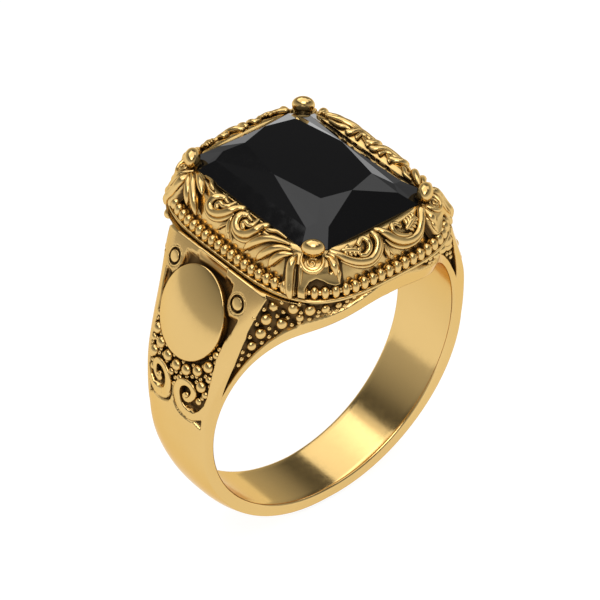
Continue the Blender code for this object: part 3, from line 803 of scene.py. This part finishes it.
SEAT_CORNER = 5.0
SEAT_SECTION = ((5.12, 6.60, 12.5), (5.12, 6.60, 14.66), (5.08, 6.56, 14.74),
                (4.98, 6.46, 14.72), (4.60, 6.10, 14.20), (4.25, 5.75, 13.70),
                (4.25, 5.75, 12.5))


def build_seat(finish):
    """The ring inside the wall that the stone rests on."""
    shape = Shape()
    band_around(shape, SEAT_SECTION, circle(360), SEAT_CORNER)
    make_piece("seat_ring", shape, finish, ["stone_seat"])


# ---------------------------------------------------------------- stone
TABLE_CORNER = (2.14, 3.90, 16.64)
TABLE_SIDE = (2.86, 0.0, 16.64)
TABLE_END = (0.0, 4.49, 16.64)
SIDE_BREAK = (4.00, 4.70, 15.60)
END_BREAK = (2.90, 5.62, 15.71)
CORNER_BREAK = (3.20, 4.89, 15.87)
GIRDLE = ((4.97, 5.40), (3.77, 6.60))
GIRDLE_HEIGHTS = (14.90, 14.78)
PAVILION = (0.62, 0.70, 13.55)      # shares of the girdle's x and y, and the height
KEEL_Y, KEEL_Z = 2.0, 12.60


def build_stone(finish):
    """Cut-corner rectangle: octagonal table, kites beside its corners, long side facets."""
    shape = Shape()

    def facet(*points):
        raised = [(x, y, z + CENTRE_Z) for x, y, z in points]
        shape.add(raised, [list(range(len(raised)))])

    def flip(sx, sy, *points):
        return [(sx * x, sy * y, z) for x, y, z in points]
    top, low = GIRDLE_HEIGHTS
    g1, g2 = (*GIRDLE[0], top), (*GIRDLE[1], top)
    table = []
    for sx, sy in ((1, 1), (-1, 1), (-1, -1), (1, -1)):
        first = TABLE_SIDE if sx * sy > 0 else TABLE_END
        table += flip(sx, sy, first, TABLE_CORNER)
    facet(*table)
    for sx in (-1, 1):
        for sy in (-1, 1):
            facet(*flip(sx, sy, TABLE_SIDE, TABLE_CORNER, CORNER_BREAK, SIDE_BREAK))
            facet(*flip(sx, sy, TABLE_CORNER, TABLE_END, END_BREAK, CORNER_BREAK))
            facet(*flip(sx, sy, SIDE_BREAK, CORNER_BREAK, END_BREAK, g2, g1))
    for s in (-1, 1):
        facet(*flip(s, 1, TABLE_SIDE, SIDE_BREAK, g1), *flip(s, -1, g1, SIDE_BREAK))
        facet(*flip(1, s, TABLE_END, END_BREAK, g2), *flip(-1, s, g2, END_BREAK))
    ring = [(sx * x, sy * y) for sx, sy in ((1, 1), (-1, 1), (-1, -1), (1, -1))
            for x, y in GIRDLE[::sx * sy]]
    middle = [(x * PAVILION[0], y * PAVILION[1], PAVILION[2]) for x, y in ring]
    for k, here in enumerate(ring):
        after = ring[(k + 1) % 8]
        m, m_after = middle[k], middle[(k + 1) % 8]
        facet((*here, top), (*after, top), (*after, low), (*here, low))
        facet((*here, low), (*after, low), m_after, m)
        keel = (0, math.copysign(KEEL_Y, here[1]), KEEL_Z)
        keel_after = (0, math.copysign(KEEL_Y, after[1]), KEEL_Z)
        if keel == keel_after:
            facet(m, m_after, keel)
        else:
            facet(m, m_after, keel_after, keel)
    make_piece("black_gem", shape, finish, ["stone"], flat=True)


# ---------------------------------------------------------------- scrolls and leaves
def ornament(name, node, finish, start, bars, leaves=()):
    """One piece of bars on the rim; each bar is its points, its radii and its height."""
    shape = Shape()
    for points, radii, height in bars:
        vine(shape, start, points, radii, height)
    for root, tip, width in leaves:
        leaf(shape, start, root, tip, width)
    make_piece(name, shape, finish, [node])


SIDE_SCROLL_SHIFT = 2.92
SIDE_SCROLL = (
    (((-1.85, 15.35), (-2.25, 15.22), (-2.50, 14.90), (-2.40, 14.52), (-2.02, 14.30),
      (-1.50, 14.36), (-1.00, 14.62), (-0.50, 15.02), (-0.05, 15.35), (0.40, 15.52)),
     (0.20, 0.25, 0.27, 0.25, 0.20), 0.0),
    (((-2.62, 15.12), (-2.78, 14.70), (-2.62, 14.20), (-2.15, 13.90), (-1.60, 13.90),
      (-1.05, 14.12), (-0.55, 14.52), (-0.15, 14.92)), (0.07, 0.15, 0.17, 0.15, 0.08), -0.06),
    (((-0.62, 15.50), (-0.88, 15.16), (-1.30, 14.98), (-1.70, 15.02), (-1.86, 14.84),
      (-1.70, 14.68)), (0.13, 0.15, 0.15, 0.17), 0.0),
    (((-1.95, 15.52), (-1.55, 15.34), (-1.20, 15.28)), (0.12, 0.13, 0.08), 0.0))
SIDE_LEAF = (
    (((-0.12, 14.72), (-0.12, 14.25), (0.00, 13.80), (0.22, 13.42)), (0.07, 0.15, 0.15, 0.05),
     0.0),
    (((0.10, 14.3), (0.22, 13.8), (0.50, 13.42)), (0.04, 0.08, 0.03), -0.04),
    (((-0.45, 14.10), (-0.85, 13.72), (-1.10, 13.32)), (0.03, 0.08, 0.03), -0.10))


def build_side_scrolls(finish):
    """Two double-wire C scrolls on each long side, both opening the same way."""
    for (shoulder, side), start in zip(SHOULDERS, (0.0, 2 * QUARTER)):
        for place in (0, 1):
            face_name = "front" if (place == 1) == (side < 0) else "back"
            ornament(f"long_side_scroll_{face_name}_{shoulder}",
                     f"side_scroll_{face_name}_{shoulder}", finish,
                     start + place * SIDE_SCROLL_SHIFT, SIDE_SCROLL)
        ornament(f"long_side_leaf_{shoulder}", f"side_spike_{shoulder}", finish, start, SIDE_LEAF)


CURLED_SCROLL = (
    (((-4.25, 15.02), (-3.75, 14.80), (-3.20, 14.46), (-2.60, 14.14), (-2.00, 13.92),
      (-1.45, 13.84), (-1.00, 14.02), (-0.68, 14.40), (-0.58, 14.82), (-0.78, 15.22)),
     (0.18, 0.24, 0.27, 0.25, 0.18), 0.0),
    (((-3.55, 14.40), (-3.00, 14.06), (-2.40, 13.74), (-1.80, 13.52), (-1.25, 13.50),
      (-0.75, 13.74), (-0.42, 14.16), (-0.30, 14.66), (-0.36, 15.04)),
     (0.06, 0.15, 0.17, 0.15, 0.06), -0.06),
    (((-2.15, 15.02), (-1.90, 15.20), (-1.52, 15.12), (-1.28, 14.80), (-1.38, 14.46),
      (-1.72, 14.26), (-2.05, 14.34)), (0.16, 0.17, 0.17, 0.14), 0.0))
HOOKED_SCROLL = (
    (((-0.42, 15.30), (-0.10, 15.16), (0.30, 14.84), (0.72, 14.40), (1.20, 14.04),
      (1.75, 13.84), (2.30, 13.80), (2.80, 13.98), (3.22, 14.34), (3.62, 14.68),
      (3.95, 14.88)), (0.16, 0.24, 0.27, 0.26, 0.22), 0.0),
    (((0.12, 14.50), (0.48, 14.06), (0.95, 13.70), (1.50, 13.46), (2.15, 13.40),
      (2.75, 13.54), (3.25, 13.90), (3.60, 14.28)), (0.06, 0.15, 0.17, 0.15, 0.06), -0.06),
    (((1.52, 14.88), (1.34, 15.10), (1.02, 15.14), (0.88, 14.92), (1.02, 14.62),
      (1.38, 14.36), (1.78, 14.18), (2.10, 14.14)), (0.13, 0.16, 0.16, 0.10), 0.0))
END_SPIKE = (
    (((-0.12, 14.35), (-0.02, 13.85), (0.04, 13.30)), (0.06, 0.15, 0.06), -0.02),
    (((0.16, 14.0), (0.30, 13.62), (0.42, 13.34)), (0.03, 0.08, 0.03), -0.06))
CURLED_LEAF = ((-3.45, 14.98), (-2.20, 14.62), 0.26)
HOOKED_LEAF = ((1.95, 14.58), (3.00, 14.86), 0.40)


def build_end_scrolls(finish):
    """A C scroll with a curl and a reversed one with a hook on each short side."""
    for (face_name, face), start in zip(FACES, (QUARTER, 3 * QUARTER)):
        near, far = ("left", "right") if face < 0 else ("right", "left")
        ornament(f"short_side_scroll_{face_name}_{near}", f"end_scroll_{face_name}_{near}",
                 finish, start, CURLED_SCROLL, [CURLED_LEAF])
        ornament(f"short_side_scroll_{face_name}_{far}", f"end_scroll_{face_name}_{far}",
                 finish, start, HOOKED_SCROLL, [HOOKED_LEAF])
        ornament(f"short_side_spike_{face_name}", f"end_spike_{face_name}", finish, start,
                 END_SPIKE)


def leaf(shape, start, root, tip, width):
    """A small lobed leaf: short ribs that fan out from a line between root and tip."""
    root, tip = np.array(root), np.array(tip)
    length = np.linalg.norm(tip - root)
    way = unit(tip - root)
    side = np.array([-way[1], way[0]])
    vine(shape, start, [root, root + way * length * 0.5 + side * 0.05, tip],
         (0.10, 0.16, 0.09), 0.04)
    for k in range(4):
        at = root + way * length * (0.12 + 0.25 * k)
        for turned in (-1, 1):
            end = at + way * 0.16 * length + side * turned * width * (1.0 - 0.12 * k)
            vine(shape, start, [at, (at + end) / 2 + way * 0.03, end], (0.08, 0.13, 0.08), 0.02,
                 steps=8)


FRONDS = (((5.20, 15.42), (4.45, 15.50), (3.75, 15.36), (3.20, 15.30)),
          ((5.45, 15.18), (4.70, 15.14), (3.90, 15.02), (3.15, 14.72), (2.50, 14.28),
           (1.98, 13.74), (1.74, 13.34)),
          ((5.55, 14.92), (4.95, 14.86), (4.30, 14.62), (3.70, 14.20), (3.20, 13.66),
           (2.90, 13.28)),
          ((5.70, 14.72), (5.15, 14.58), (4.66, 14.28), (4.28, 13.82), (4.04, 13.32)))


def build_fronds(finish):
    """Long leaves that sweep from each corner along the long side, and two short ones on the
    other side of the corner."""
    for corner, side, face in CORNERS:
        start = 0.0 if side < 0 else 2 * QUARTER
        turned = side * face
        shape = Shape()
        for k, points in enumerate(FRONDS):
            if turned < 0:
                points = [(-along - 0.35 * (k > 0), climbing) for along, climbing in points]
                points = points[:4] if k == 1 else points
            thick = 0.15 if k == 0 else 0.25
            radii = (0.07, thick * 0.8, thick, thick * 0.9, 0.05)
            vine(shape, start, points, radii, height=0.05, flatness=1.1)
        for k, (reach, low) in enumerate(((3.75, 14.05), (4.15, 13.80))):
            points = [(turned * (QUARTER - 4.45 - 0.2 * k), 14.95 - 0.12 * k),
                      (turned * (QUARTER - 4.05 - 0.1 * k), 14.70 - 0.15 * k),
                      (turned * (QUARTER - reach), low)]
            vine(shape, start, points, (0.06, 0.14, 0.04))
        make_piece(f"corner_fronds_{corner}", shape, finish,
                   [f"leaf_fan_{corner}"])


SHIELD_HALF = ((12.40, 7.62), (12.90, 7.60), (13.30, 7.36), (13.70, 7.13), (14.10, 6.93),
               (14.60, 6.72), (15.00, 6.42), (15.30, 6.05))
SHIELD_LEAN = ((14.0, 0.0), (14.4, 0.12), (14.8, 0.42), (15.1, 0.70), (15.4, 1.0))
SHIELD_BODY = ((5.62, 14.85), (5.45, 14.40), (5.40, 13.70), (5.34, 13.20), (5.36, 12.40),
               (6.86, 12.40), (6.84, 13.10), (7.05, 13.45), (7.40, 13.62), (7.75, 13.50),
               (8.05, 13.32), (8.50, 13.16), (8.92, 13.20), (8.96, 13.80), (8.90, 14.30),
               (8.72, 14.75), (8.20, 15.10), (7.10, 15.25), (6.05, 15.10))
SHIELD_SLITS = ((((6.16, 14.35), (6.20, 13.40), (6.20, 12.40)), (0.05, 0.12)),
                (((8.24, 14.85), (8.28, 14.45), (8.26, 14.05)), (0.05, 0.10)))
LOBES = (((6.00, 14.95), (5.82, 14.60), (5.74, 14.10), (5.76, 13.50), (5.82, 12.95), (5.86, 12.50)),
         ((8.14, 15.00), (8.40, 14.72), (8.54, 14.34), (8.60, 13.90)),
         ((8.74, 14.2), (8.78, 13.9), (8.76, 13.5)),
         ((6.62, 14.9), (6.44, 14.5), (6.42, 14.0), (6.46, 13.4)))
LOBE_SIZES = ((0.10, 0.30, 0.31, 0.29, 0.26, 0.20), (0.12, 0.25, 0.27, 0.10), (0.05, 0.15, 0.06),
              (0.06, 0.15, 0.15, 0.05))
ROSETTE = (7.12, 14.66)
ROSETTE_CUP = ((-0.66, 0.42), (-0.70, 0.02), (-0.45, -0.38), (0.0, -0.52), (0.45, -0.38),
               (0.72, 0.02), (0.68, 0.42))


def shield_point(along, z, height):
    """On a drape: its upper part leans inwards over the wall."""
    turn = np.interp(np.mod(along, RIM), RIM_LENGTHS, RIM_TURNS)
    lean = smooth(SHIELD_LEAN, z)
    half = smooth(SHIELD_HALF, z) + height
    x, y = outline(turn, (half - 0.495 * lean, half + 1.38 - 0.608 * lean))
    return np.stack(np.broadcast_arrays(-x, -y, z - 0.621 * lean + CENTRE_Z), -1)


def shield_bar(shape, place, points, radii, height=0.0, steps=24):
    path = spline(points, steps)
    share = np.linspace(0, 1, steps)
    thick = smooth([(i / (len(radii) - 1), r) for i, r in enumerate(radii)], share)
    along = place(path[:, 0])
    centres = shield_point(along, path[:, 1], height)
    outward = unit(shield_point(along, path[:, 1], height + 0.2) - centres)
    sweep(shape, centres, outward, thick)


def drape(shape, place):
    """The cloth of a drape, a sheet with slits and a closed back."""
    along = np.linspace(5.15, 9.12, 96)[None, :]
    z = np.linspace(12.40, 15.30, 76)[:, None]
    along, z = np.broadcast_arrays(along, z)
    shown = inside(SHIELD_BODY, along, z)
    lift = -0.55 + 0.55 * ease(-0.05, 0.14, shown)
    for path, widths in SHIELD_SLITS:
        lift = lift - 0.30 * groove(path, widths, along, z)
    lift = lift + 0.05 * np.cos((along - 7.1) * 2.6) * ease(0, 0.3, shown)
    top = shield_point(place(along), z, lift)
    under = shield_point(place(along), z, -0.62)
    dirt = ease(0.10, 0.35, -lift)
    skin(shape, np.concatenate([top, under[:, ::-1]], 1),
         dirt=np.concatenate([dirt, dirt * 0], 1).ravel())


def rosette(shape, place):
    """A spiral in a cup, under the claw."""
    u, v = ROSETTE
    cup = [(u + along, v + up) for along, up in ROSETTE_CUP]
    shield_bar(shape, place, cup, (0.12, 0.15, 0.15, 0.15, 0.12), 0.04, 36)
    curl = []
    for step in range(9):
        turn = 0.8 + step * 0.95
        reach = 0.36 - 0.035 * step
        curl.append((u + reach * math.cos(turn), v + 0.02 + 0.8 * reach * math.sin(turn)))
    shield_bar(shape, place, curl, (0.11, 0.10, 0.09, 0.08), 0.06, 60)


def build_shields(finish):
    """Drapes over the corners with a small rosette under each claw."""
    for corner, side, face in CORNERS:
        start = 0.0 if side < 0 else 2 * QUARTER

        def place(along, start=start, turned=side * face):
            return start + turned * along
        shape = Shape()
        drape(shape, place)
        for points, radii in zip(LOBES, LOBE_SIZES):
            shield_bar(shape, place, points, radii)
        rosette(shape, place)
        make_piece(f"corner_drape_{corner}", shape, finish,
                   [f"corner_shield_{corner}"])


CLAW = (4.70, 6.25, 15.27)
CLAW_SIZE = (0.78, 0.54, 0.61)      # along the corner, outwards, up
CLAW_FOOT = (4.55, 6.05, 14.4)
CLAW_WIRE = 0.46


def build_claws(finish):
    """A ball on each corner of the stone, on a short wire that comes up through the drape."""
    for corner, side, face in CORNERS:
        centre = np.array([side * CLAW[0], face * CLAW[1], CENTRE_Z + CLAW[2]])
        foot = np.array([side * CLAW_FOOT[0], face * CLAW_FOOT[1], CENTRE_Z + CLAW_FOOT[2]])
        outwards = unit(np.array([side, face, 0.0]))
        axes = np.stack([np.cross((0, 0, 1), outwards), outwards, (0, 0, 1)])
        shape = Shape()
        ball(shape, centre, CLAW_SIZE, axes, level=4)
        share = np.linspace(0, 1, 8)[:, None]
        sweep(shape, foot + (centre - foot) * share, np.tile(outwards, (8, 1)), CLAW_WIRE,
              sides=20)
        make_piece(f"claw_{corner}_bead", shape, finish, [f"claw_{corner}"])


# ---------------------------------------------------------------- camera, light and floor
AZIMUTH, ELEVATION = -39.155, 38.399
DISTANCE = 283.283
CAMERA_SHIFT = (-0.52665, 3.79130)     # sideways and up, mm
LENS = 251.81


def place_camera():
    azimuth, elevation = math.radians(AZIMUTH), math.radians(ELEVATION)
    back = Vector((math.sin(azimuth) * math.cos(elevation),
                   -math.cos(azimuth) * math.cos(elevation), math.sin(elevation)))
    right = Vector((math.cos(azimuth), math.sin(azimuth), 0))
    up = back.cross(right)
    data = bpy.data.cameras.new("camera")
    data.lens = LENS
    data.sensor_width = 36
    data.clip_start, data.clip_end = 0.01, 20
    camera = bpy.data.objects.new("camera", data)
    where = back * DISTANCE + right * CAMERA_SHIFT[0] + up * CAMERA_SHIFT[1]
    camera.location = (where + Vector((0, 0, CENTRE_Z))) * MM
    camera.rotation_mode = "QUATERNION"
    camera.rotation_quaternion = (-back).to_track_quat("-Z", "Y")
    bpy.context.scene.collection.objects.link(camera)
    bpy.context.scene.camera = camera


def softbox(name, direction, distance, width, height, strength):
    """A rectangular area light that faces the ring."""
    light = bpy.data.lights.new(name, "AREA")
    light.shape = "RECTANGLE"
    light.size = width
    light.size_y = height
    light.energy = strength * math.pi * width * height
    lamp = bpy.data.objects.new(name, light)
    way = Vector(direction).normalized()
    lamp.location = way * distance + Vector((0, 0, CENTRE_Z * MM))
    lamp.rotation_mode = "QUATERNION"
    lamp.rotation_quaternion = way.to_track_quat("Z", "Y")
    bpy.context.scene.collection.objects.link(lamp)


# Brightness of the surroundings against the upward share of the direction.
SKY = ((0.0, 0.90), (0.03, 0.58), (0.25, 0.48), (0.45, 0.32), (0.60, 0.11), (0.95, 0.12))
# Direction, distance, width, height and strength.
SOFTBOXES = {"overhead_softbox": ((-0.08, 0.02, 1.0), 0.30, 0.40, 0.40, 1.3),
             "front_softbox": ((-0.40, -0.45, 0.80), 0.34, 0.15, 0.15, 3.5),
             "right_softbox": ((0.68, -0.08, 0.73), 0.34, 0.15, 0.15, 1.1),
             "rear_softbox": ((0.03, 0.61, 0.79), 0.40, 0.30, 0.16, 1.3)}


def build_world():
    """A studio: bright below the horizon and dim overhead, so that metal has contrast."""
    world = bpy.data.worlds.new("studio")
    bpy.context.scene.world = world
    world.use_nodes = True
    nodes, links = world.node_tree.nodes, world.node_tree.links
    place = nodes.new("ShaderNodeTexCoord")
    split = nodes.new("ShaderNodeSeparateXYZ")
    links.new(place.outputs["Generated"], split.inputs[0])
    ramp = nodes.new("ShaderNodeValToRGB")
    links.new(split.outputs["Z"], ramp.inputs["Fac"])
    elements = ramp.color_ramp.elements
    for up, _ in SKY[2:]:
        elements.new(up)
    for element, (up, level) in zip(elements, SKY):
        element.position = up
        element.color = (level, level, level, 1)
    links.new(ramp.outputs["Color"], nodes["Background"].inputs["Color"])
    nodes["Background"].inputs["Strength"].default_value = 1.0


def build_floor():
    mesh = bpy.data.meshes.new("floor")
    reach = 3.0
    mesh.from_pydata([(-reach, -reach, 0), (reach, -reach, 0), (reach, reach, 0),
                      (-reach, reach, 0)], [], [(0, 1, 2, 3)])
    made, nodes, links = new_material("floor_white")
    shader = nodes["Principled BSDF"]
    shader.inputs["Roughness"].default_value = 0.8
    shader.inputs["Emission Color"].default_value = (1, 1, 1, 1)
    shader.inputs["Emission Strength"].default_value = 0.92
    speckle = add_node(nodes, "ShaderNodeTexNoise", Scale=40.0, Detail=3.0)
    colour = mix_colour(nodes, links, speckle.outputs["Fac"], (0.15, 0.15, 0.15),
                        (0.17, 0.17, 0.17))
    links.new(colour, shader.inputs["Base Color"])
    mesh.materials.append(made)
    floor = bpy.data.objects.new("floor", mesh)
    bpy.context.scene.collection.objects.link(floor)


def build_ring():
    polished = gold("polished_gold", polish=0.12, worn=0.15)
    antiqued = gold("antiqued_gold", polish=0.16, worn=1.0)
    build_shank(polished)
    build_granules(antiqued)
    build_ovals(polished)
    build_ears(polished)
    build_spirals(polished)
    build_rail(polished)
    build_beads(antiqued)
    build_wall(antiqued)
    build_seat(polished)
    build_stone(black_stone("black_stone"))
    build_side_scrolls(antiqued)
    build_end_scrolls(antiqued)
    build_fronds(antiqued)
    build_shields(antiqued)
    build_claws(polished)


build_ring()
build_floor()
build_world()
for name, settings in SOFTBOXES.items():
    softbox(name, *settings)
place_camera()
bpy.context.scene.view_settings.view_transform = "Standard"
